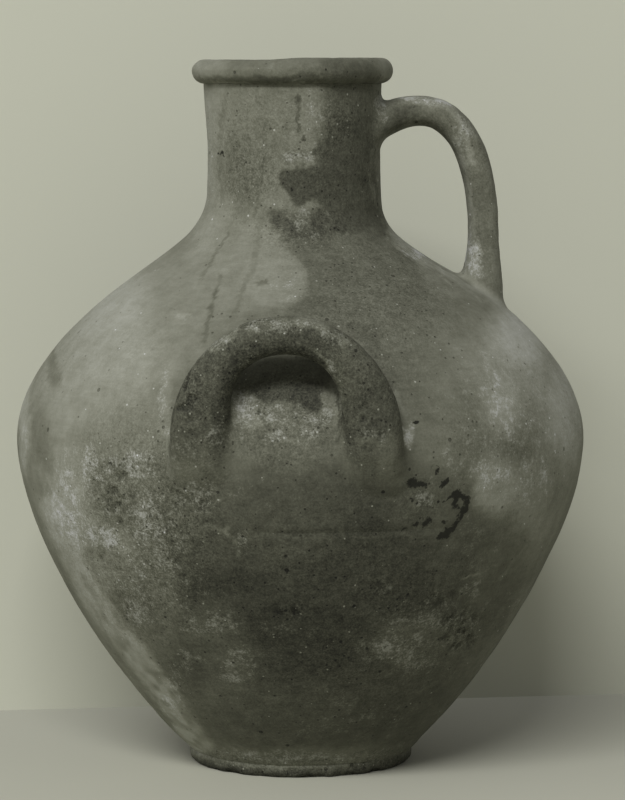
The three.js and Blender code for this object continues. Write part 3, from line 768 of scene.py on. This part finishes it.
def turned_skin(node):
    """The fine surface of one turned piece, closed, with its relief."""
    rows = joined_rows(node)
    radius, height, axis, level, rise, kind = (rows[:, k, None] for k in range(6))
    outer, inner = kind[:, 0] == OUTSIDE, kind[:, 0] == INSIDE
    angles = column_angles()
    cosine, sine = np.cos(angles), np.sin(angles)
    places = np.stack(np.broadcast_arrays(axis + radius * cosine, radius * sine, height), axis=2)
    outward = np.stack(np.broadcast_arrays(level * cosine, level * sine, rise + 0 * cosine), axis=2)
    lift = np.zeros(places.shape[:2])
    outer_relief = {"foot": foot_relief, "lip": lip_relief}.get(node, wall_relief)
    for chosen, relief in ((outer, outer_relief), (inner, inner_relief)):
        if chosen.any():
            lift[chosen] = relief(places[chosen].reshape(-1, 3)).reshape(-1, COLUMNS)
    if node == "foot":
        bottom = (height < ON_FLOOR) & np.ones_like(lift, dtype=bool)
        fading = smooth(radius + 0 * lift, *FOOT_FLAT)
        lift[bottom] = np.minimum(lift[bottom], 0) * fading[bottom]
    points = places + outward * lift[..., None]
    points[..., 2] = np.maximum(points[..., 2], 0.0)
    piece, used = grid_mesh(node + "_skin", points, OUTLINES[node][1])
    hidden = ~np.repeat(outer, COLUMNS)
    spots = points.reshape(-1, 3).copy()
    spots[hidden, 1] = abs(spots[hidden, 1]) + HIDDEN_SHIFT
    keep_paint(piece, (foot_paint if node == "foot" else wall_paint)(spots[used]))
    return piece


def grid_mesh(name, points, has_poles):
    """Faces over rows of columns, and which points they use; rows on the axis become single points."""
    flat = points.reshape(-1, 3)
    numbers = np.arange(len(flat)).reshape(-1, COLUMNS)
    if has_poles:
        numbers[0, :] = numbers[0, 0]
        numbers[-1, :] = numbers[-1, 0]
    below = numbers if not has_poles else numbers[:-1]
    above = np.roll(numbers, -1, axis=0) if not has_poles else numbers[1:]
    quads = np.stack([below, np.roll(below, -1, 1), np.roll(above, -1, 1), above], axis=2).reshape(-1, 4)
    faces = []
    for quad in quads.tolist():
        corners = list(dict.fromkeys(quad))
        if len(corners) > 2:
            faces.append(corners)
    used = np.unique(np.concatenate([np.ravel(face) for face in faces]))
    renumber = np.full(len(flat), -1)
    renumber[used] = np.arange(len(used))
    piece = make_mesh(name, flat[used], [renumber[face].tolist() for face in faces])
    piece.data.set_sharp_from_angle(angle=math.radians(SHARP_TURN))
    return piece, used


# Handles: distance fields of the solids, melted together with the wall


def tree_of(node):
    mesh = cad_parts[node].data
    corners = [vertex.co / METRES for vertex in mesh.vertices]
    return BVHTree.FromPolygons(corners, [tuple(face.vertices) for face in mesh.polygons])


def solid_field(node, axes):
    """Distance from a solid at the points of a grid, negative inside it."""
    tree = tree_of(node)
    shape = tuple(len(axis) for axis in axes)
    field = np.full(shape, SEARCH_REACH)
    low, high = (np.array(corner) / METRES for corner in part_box(node))
    spans = [np.flatnonzero((axis > a - SEARCH_REACH) & (axis < b + SEARCH_REACH))
             for axis, a, b in zip(axes, low, high)]
    for i in spans[0]:
        for j in spans[1]:
            crossings = level_crossings(tree, axes[0][i], axes[1][j], low[2] - 1, high[2] + 1)
            for k in spans[2]:
                found = tree.find_nearest((axes[0][i], axes[1][j], axes[2][k]), SEARCH_REACH)
                if found[3] is not None:
                    inside = sum(z < axes[2][k] for z in crossings) % 2
                    field[i, j, k] = -found[3] if inside else found[3]
    return field


def level_crossings(tree, x, y, low, high):
    """Heights at which an upright line enters or leaves a solid."""
    heights = []
    start = Vector((x + RAY_NUDGE, y + RAY_NUDGE / 3, low))
    while True:
        place = tree.ray_cast(start, Vector((0, 0, 1)), high - start.z)[0]
        if place is None:
            return heights
        heights.append(place.z)
        start.z = place.z + RAY_STEP


def melted(a, b, width):
    """The smaller of two distances, rounded where they are close to each other."""
    share = np.clip(0.5 + 0.5 * (b - a) / width, 0, 1)
    return mix(b, a, share) - width * share * (1 - share)


def finer_axis(axis):
    inner = axis[1:-2]
    return inner[0] + np.arange((len(inner) - 1) * FINE_CELLS + 1) * FINE_CELL


def finer(field, axes):
    """The field on a finer grid, smoothed by a cubic B-spline over the coarse values."""
    for direction, axis in enumerate(axes):
        fine = finer_axis(axis)
        place = (fine - axis[0]) / COARSE_CELL
        base = np.clip(np.floor(place).astype(int), 1, len(axis) - 3)
        t = place - base
        weights = np.zeros((len(fine), len(axis)))
        rows = np.arange(len(fine))
        parts = ((1 - t) ** 3, 3 * t**3 - 6 * t**2 + 4, -3 * t**3 + 3 * t**2 + 3 * t + 1, t**3)
        for offset, part in enumerate(parts):
            weights[rows, base - 1 + offset] = part / 6
        field = np.moveaxis(np.tensordot(weights, field, (1, direction)), 0, direction)
    return field


def blurred(field):
    """A light blur along each direction."""
    for direction in range(3):
        padded = np.concatenate([field.take([0], direction), field, field.take([-1], direction)], direction)
        count = field.shape[direction]
        parts = [padded.take(range(k, k + count), direction) for k in range(3)]
        field = (parts[0] + 2 * parts[1] + parts[2]) / 4
    return field


def surface_of(field, origin, step):
    """Points and quads of the surface where a field passes zero, one point in each cell it crosses."""
    inside = field < 0
    shape = np.array(field.shape) - 1
    views = {c: field[tuple(slice(k, k + n) for k, n in zip(c, shape))] for c in np.ndindex(2, 2, 2)}
    signs = sum((view < 0).astype(int) for view in views.values())
    cells = np.argwhere((signs > 0) & (signs < 8))
    total = np.zeros((len(cells), 3))
    count = np.zeros(len(cells))
    at = tuple(cells.T)
    for c in views:
        for direction in np.flatnonzero(np.array(c) == 0):
            other = tuple(1 if d == direction else c[d] for d in range(3))
            a, b = views[c][at], views[other][at]
            crossed = (a < 0) != (b < 0)
            share = np.where(crossed, a / np.where(crossed, a - b, 1), 0)
            total += (np.array(c) + share[:, None] * np.eye(3)[direction]) * crossed[:, None]
            count += crossed
    points = origin + (cells + total / count[:, None]) * step
    numbers = np.full(shape, -1)
    numbers[at] = np.arange(len(cells))
    quads = []
    for direction in range(3):
        first, second = [d for d in range(3) if d != direction]
        crossed = np.argwhere(inside != np.roll(inside, -1, direction))
        fits = np.all(crossed < shape, axis=1) & (crossed[:, first] > 0) & (crossed[:, second] > 0)
        crossed = crossed[fits]
        ring = []
        for back_first, back_second in ((0, 0), (1, 0), (1, 1), (0, 1)):
            cell = crossed.copy()
            cell[:, first] -= back_first
            cell[:, second] -= back_second
            ring.append(numbers[tuple(cell.T)])
        ring = np.stack(ring, axis=1)
        leaving = inside[tuple(crossed.T)]
        flip = leaving if direction == 1 else ~leaving
        ring[flip] = ring[flip][:, ::-1]
        quads.append(ring)
    return points, np.vstack(quads)


def sampled(field, origin, step, points):
    """The field between its grid points, by straight lines."""
    place = (points - origin) / step
    base = np.clip(np.floor(place).astype(int), 0, np.array(field.shape) - 2)
    return blended(base, place - base, lambda corners: field[tuple(corners.T)])


def settle(points, quads, field, origin, step):
    """Even out the points along the surface and put them back on it."""
    ends = np.vstack([quads[:, [0, 1]], quads[:, [1, 2]], quads[:, [2, 3]], quads[:, [3, 0]]])
    for _ in range(SETTLE_ROUNDS):
        total = np.zeros_like(points)
        count = np.zeros(len(points))
        for a, b in ((0, 1), (1, 0)):
            np.add.at(total, ends[:, a], points[ends[:, b]])
            np.add.at(count, ends[:, a], 1)
        points = mix(points, total / count[:, None], SETTLE_SHARE)
        for _ in range(2):
            value = sampled(field, origin, step, points)
            slope = np.stack([(sampled(field, origin, step, points + step * 0.5 * np.eye(3)[d])
                               - sampled(field, origin, step, points - step * 0.5 * np.eye(3)[d])) / step
                              for d in range(3)], axis=1)
            length = np.maximum(np.sum(slope**2, axis=1), LEAST_SLOPE)
            points = points - slope * (value / length)[:, None]
    return points


def melted_handle(name, node, melt):
    """A handle as one skin that runs into the wall, with a cove for the clay that binds it."""
    low, high = (np.array(corner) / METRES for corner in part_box(node))
    axes = [np.arange(a, b, COARSE_CELL) for a, b in zip(low - HANDLE_MARGIN, high + HANDLE_MARGIN)]
    solid = solid_field(node, axes) - MELT_INFLATE
    solid = (finer(blurred(solid), axes) - BLUR_LOSS + MELT_INFLATE).ravel()
    fine = [finer_axis(axis) for axis in axes]
    origin = np.array([axis[0] for axis in fine])
    points = np.stack(np.meshgrid(*fine, indexing="ij"), axis=3).reshape(-1, 3)
    wall, nearest = off_wall(points)
    close = abs(wall) < WALL_REACH
    wall[close] -= wall_relief(nearest[close])
    near = abs(solid) < HANDLE_REACH
    solid[near] -= handle_relief(points[near]) * smooth(wall, *OWN_RELIEF)[near]
    skin = melted(solid, wall, melt) + SINK * smooth(solid, SINK_START * melt, melt + SINK_RUN)
    skin = np.maximum(skin, -(wall + BACK_DEPTH))
    skin = np.maximum(skin, solid - (melt + SKIN_MARGIN))
    field = skin.reshape([len(axis) for axis in fine])
    points, quads = surface_of(field, origin, FINE_CELL)
    points = settle(points, quads, field, origin, FINE_CELL)
    piece = make_mesh(name, points, quads.tolist())
    keep_paint(piece, handle_paint(points, smooth(off_wall(points)[0], *OWN_PAINT)))
    return piece


# Materials

# Noises of the clay: size, detail and, where it isn't the usual one, roughness
BROAD = (10.0, 5)
FINE = (3.2, 4, 0.7)
GRAIN = (1.2, 3, 0.75)
STREAK = (2.0, 4)
STREAK_STRETCH = (0.1, 0.1, 1.0)

# Dots: size of the cells and largest radius
PITS = (2.6, 0.85)
HOLES = (8.0, 1.5)
SPECKS = (3.2, 0.8)
DOT_RIM = 0.2
LEAST_SHARE = 0.01

# Edges of the deposits and stains, levels, and the tint of the print
CRUST_EDGE = (0.28, 0.68)
CRUST_LIFT = 0.13
STAIN_EDGE = (0.34, 0.66)
STAIN_LEVEL = 0.12
LEAST_LEVEL = 0.09
GREEN = 1.012
BLUE = 0.695
SPECULAR = 0.3
MATTE_ROUGHNESS = 0.8


class Graph:
    """Short calls for the node tree of a material or a world."""

    def __init__(self, owner):
        owner.use_nodes = True
        self.tree = owner.node_tree

    def feed(self, socket, value):
        if isinstance(value, bpy.types.NodeSocket):
            self.tree.links.new(value, socket)
        else:
            socket.default_value = value

    def node(self, kind, inputs=None, **settings):
        node = self.tree.nodes.new(kind)
        for name, value in settings.items():
            setattr(node, name, value)
        for name, value in (inputs or {}).items():
            self.feed(node.inputs[name], value)
        return node

    def calc(self, operation, *values, clamp=False):
        node = self.node("ShaderNodeMath", operation=operation, use_clamp=clamp)
        for socket, value in zip(node.inputs, values):
            self.feed(socket, value)
        return node.outputs[0]

    def total(self, *terms):
        """The sum of some values, each with a factor."""
        result = None
        for value, factor in terms:
            part = self.calc("MULTIPLY", value, factor)
            result = part if result is None else self.calc("ADD", result, part)
        return result

    def rise(self, value, low, high):
        """0 to 1 as a value goes from low to high."""
        node = self.node("ShaderNodeMapRange", {"Value": value, "From Min": low, "From Max": high},
                         interpolation_type="SMOOTHSTEP")
        return node.outputs["Result"]

    def painted(self, name):
        return self.node("ShaderNodeAttribute", attribute_name=name, attribute_type="GEOMETRY").outputs["Fac"]

    def stretched(self, vector, factors):
        return self.node("ShaderNodeVectorMath", {0: vector, 1: factors}, operation="MULTIPLY").outputs[0]

    def noise(self, vector, size, detail, roughness=0.6):
        """Noise about 0, from about -0.5 to 0.5."""
        inputs = {"Vector": vector, "Scale": 1 / size, "Detail": detail, "Roughness": roughness}
        return self.calc("SUBTRACT", self.node("ShaderNodeTexNoise", inputs).outputs["Fac"], 0.5)

    def dots(self, vector, share, size, largest):
        """Round dots in cells of a size: a share of the cells has one, with a radius up to the largest."""
        cells = self.node("ShaderNodeTexVoronoi", {"Vector": vector, "Scale": 1 / size})
        distance = self.calc("MULTIPLY", cells.outputs["Distance"], size)
        chance = self.node("ShaderNodeSeparateColor", {0: cells.outputs["Color"]}).outputs[0]
        share = self.calc("MAXIMUM", share, LEAST_SHARE)
        above = self.calc("SUBTRACT", self.calc("ADD", chance, share), 1.0)
        radius = self.calc("MULTIPLY", self.calc("DIVIDE", above, share), largest)
        return self.calc("DIVIDE", self.calc("SUBTRACT", radius, distance), DOT_RIM, clamp=True)


def new_material(name):
    """A material with its graph and its shader."""
    material = bpy.data.materials.new(name)
    graph = Graph(material)
    return material, graph, graph.tree.nodes["Principled BSDF"]


def clay_material(name, streaks):
    """Coarse fired clay: uneven tone, grit, pits, pale deposits and stains, in one dull colour."""
    material, graph, shader = new_material(name)
    metres = graph.node("ShaderNodeTexCoord").outputs["Object"]
    place = graph.stretched(metres, (1 / METRES,) * 3)
    broad = graph.noise(place, *BROAD)
    fine = graph.noise(place, *FINE)
    grain = graph.noise(place, *GRAIN)
    streak = graph.noise(graph.stretched(place, STREAK_STRETCH), *STREAK)
    grit = graph.painted("grit")
    rough = graph.total((grit, 2.0), (1.0, 0.35))
    coarse = graph.calc("MULTIPLY", graph.total((fine, 0.16), (grain, 0.22)), rough)
    crust_sum = graph.total((graph.painted("crust"), 1.0), (broad, 1.1), (fine, 0.9), (grain, 0.8))
    crust = graph.rise(crust_sum, *CRUST_EDGE)
    stain_sum = graph.total((graph.painted("stain"), 1.0), (broad, 0.8), (fine, 1.4), (grain, 1.0))
    stain = graph.rise(stain_sum, *STAIN_EDGE)
    pits = graph.dots(place, graph.total((grit, 0.4), (1.0, 0.05)), *PITS)
    holes = graph.dots(place, graph.total((grit, 0.3), (1.0, 0.05)), *HOLES)
    mirrored = graph.stretched(place, (-1, 1, 1))
    specks = graph.dots(mirrored, graph.calc("MULTIPLY", grit, 0.36), *SPECKS)
    uneven = graph.total((graph.painted("level"), 1.0), (broad, 0.15), (coarse, 1.0), (streak, streaks),
                         (crust, CRUST_LIFT), (pits, -0.11), (holes, -0.13), (specks, 0.24))
    kept = graph.calc("SUBTRACT", 1.0, stain)
    level = graph.total((uneven, kept), (stain, STAIN_LEVEL))
    level = graph.calc("MAXIMUM", level, LEAST_LEVEL)
    tone = graph.calc("MULTIPLY", level, level)
    blue = graph.calc("MULTIPLY", tone, graph.total((tone, 0.5), (crust, 0.045), (1.0, BLUE)))
    colour = graph.node("ShaderNodeCombineColor", {0: tone, 1: graph.calc("MULTIPLY", tone, GREEN), 2: blue})
    graph.feed(shader.inputs["Base Color"], colour.outputs[0])
    graph.feed(shader.inputs["Roughness"], graph.total((fine, 0.2), (crust, 0.05), (1.0, 0.82)))
    shader.inputs["Specular IOR Level"].default_value = SPECULAR
    height = graph.total((coarse, 0.9), (streak, streaks), (crust, 0.08), (pits, -0.35), (holes, -0.6),
                         (specks, 0.1))
    bump = graph.node("ShaderNodeBump", {"Height": height, "Distance": METRES})
    graph.feed(shader.inputs["Normal"], bump.outputs[0])
    return material


# The stage

FLOOR_TONE = (0.53, 0.53, 0.438)
BACKDROP_TONE = (0.585, 0.592, 0.492)
WORLD_TONE = (0.413, 0.418, 0.347)
BACKDROP_HALF_WIDTH = 2.4
BACKDROP_HEIGHT = 2.6
BACKDROP_Y = 0.193
BACKDROP_TURN = 8.3
FLOOR_HALF_WIDTH = 6.0
AMBIENT = 0.22


def matte(name, tone):
    """A plain matte paint, with its graph and its shader."""
    material, graph, shader = new_material(name)
    shader.inputs["Base Color"].default_value = (*tone, 1)
    shader.inputs["Roughness"].default_value = MATTE_ROUGHNESS
    return material, graph, shader


def make_stage():
    """A pale floor, and a pale wall close behind the jar that shows from its front only."""
    lean = BACKDROP_HALF_WIDTH * math.tan(math.radians(BACKDROP_TURN))
    left = (-BACKDROP_HALF_WIDTH, BACKDROP_Y - lean)
    right = (BACKDROP_HALF_WIDTH, BACKDROP_Y + lean)
    corners = ((-1, -1), (1, -1), (1, 1), (-1, 1))
    floor_points = [(x * FLOOR_HALF_WIDTH, y * FLOOR_HALF_WIDTH, 0) for x, y in corners]
    wall_points = [(*left, 0), (*right, 0), (*right, BACKDROP_HEIGHT), (*left, BACKDROP_HEIGHT)]
    floor = make_mesh("floor", np.array(floor_points) / METRES, [(0, 1, 2, 3)], False)
    wall = make_mesh("backdrop", np.array(wall_points) / METRES, [(0, 1, 2, 3)], False)
    floor.data.materials.append(matte("floor_paint", FLOOR_TONE)[0])
    wall.data.materials.append(backdrop_paint())


def directly_seen(graph):
    """1 for rays from the camera and for rays through glass or off a gloss, 0 for the light on the jar."""
    path = graph.node("ShaderNodeLightPath").outputs
    seen = graph.calc("MAXIMUM", path["Is Camera Ray"], path["Is Glossy Ray"])
    return graph.calc("MAXIMUM", seen, path["Is Transmission Ray"])


def backdrop_paint():
    """Matte paint that only the camera and mirrors see, and only from the front."""
    material, graph, shader = matte("backdrop_paint", BACKDROP_TONE)
    back = graph.node("ShaderNodeNewGeometry").outputs["Backfacing"]
    front = graph.calc("SUBTRACT", directly_seen(graph), back, clamp=True)
    clear = graph.node("ShaderNodeBsdfTransparent").outputs[0]
    choice = graph.node("ShaderNodeMixShader", {0: front, 1: clear, 2: shader.outputs[0]})
    graph.feed(graph.tree.nodes["Material Output"].inputs["Surface"], choice.outputs[0])
    return material


def make_world():
    """Even grey light all round, which looks as pale as the backdrop where the camera sees it."""
    world = bpy.data.worlds.new("studio")
    bpy.context.scene.world = world
    graph = Graph(world)
    graph.tree.nodes.clear()
    light = graph.node("ShaderNodeBackground", {"Color": (AMBIENT, AMBIENT, AMBIENT, 1)}).outputs[0]
    seen = graph.node("ShaderNodeBackground", {"Color": (*WORLD_TONE, 1)}).outputs[0]
    choice = graph.node("ShaderNodeMixShader", {0: directly_seen(graph), 1: light, 2: seen})
    graph.node("ShaderNodeOutputWorld", {"Surface": choice.outputs[0]})


LAMP_AIM = (0.0, 0.0, 0.22)
LAMP_DISTANCE = 6.0

# Azimuth, elevation, width, height and share of the plain level of each lamp
LAMPS = {
    "key": (-17.0, 42.0, 3.6, 1.1, 0.72),
    "fill": (-62.0, 30.0, 2.4, 2.4, 0.10),
}


def make_lamp(name, azimuth, elevation, width, height, share):
    """A window of light turned to the jar. A share of 1 lights a facing surface just as its colour says."""
    data = bpy.data.lights.new(name, "AREA")
    data.shape = "RECTANGLE"
    data.size = width
    data.size_y = height
    data.energy = share * math.pi**2 * LAMP_DISTANCE**2
    lamp = bpy.data.objects.new(name, data)
    turn, climb = math.radians(azimuth), math.radians(elevation)
    away = Vector((math.sin(turn) * math.cos(climb), -math.cos(turn) * math.cos(climb), math.sin(climb)))
    lamp.location = Vector(LAMP_AIM) + away * LAMP_DISTANCE
    lamp.rotation_euler = (-away).to_track_quat("-Z", "Y").to_euler()
    bpy.context.scene.collection.objects.link(lamp)


CAMERA_PLACE = (0.0, -2.25, 0.441)
CAMERA_TILT = 90 - 5.43
CAMERA_TURN = -0.191
CAMERA_LENS = 162.0
SENSOR = 36.0


def make_camera():
    data = bpy.data.cameras.new("camera")
    data.lens = CAMERA_LENS
    data.sensor_width = SENSOR
    data.sensor_fit = "AUTO"
    camera = bpy.data.objects.new("camera", data)
    camera.location = CAMERA_PLACE
    camera.rotation_euler = (math.radians(CAMERA_TILT), 0, math.radians(CAMERA_TURN))
    bpy.context.scene.collection.objects.link(camera)
    bpy.context.scene.camera = camera


def dress(piece, nodes, material):
    """Put a material on a piece and let it stand for its solids."""
    piece.data.materials.append(material)
    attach(piece, "root")
    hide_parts(*nodes)


make_camera()
make_world()
for name, values in LAMPS.items():
    make_lamp(name, *values)
make_stage()

STREAKS = {"foot_clay": 0.03, "body_clay": 0.07, "neck_clay": 0.05, "handle_clay": 0.02}
CLAYS = {slot: clay_material(slot, streaks) for slot, streaks in STREAKS.items()}
SLOTS = {"foot": "foot_clay", "lower_body": "body_clay", "upper_body": "body_clay", "neck": "neck_clay",
         "lip": "neck_clay"}
for node, slot in SLOTS.items():
    dress(turned_skin(node), [node], CLAYS[slot])

HANDLES = {
    "neck_handle": (["neck_handle_top_coil", "neck_handle_base_coil"], 7.0),
    "front_handle": (["front_handle_left_coil", "front_handle_right_coil"], 9.0),
    "rear_handle": (["rear_handle_left_coil", "rear_handle_right_coil"], 9.0),
}
for node, (coils, melt) in HANDLES.items():
    dress(melted_handle(node + "_skin", node, melt), [node, *coils], CLAYS["handle_clay"])

bpy.context.scene.view_settings.view_transform = "Standard"
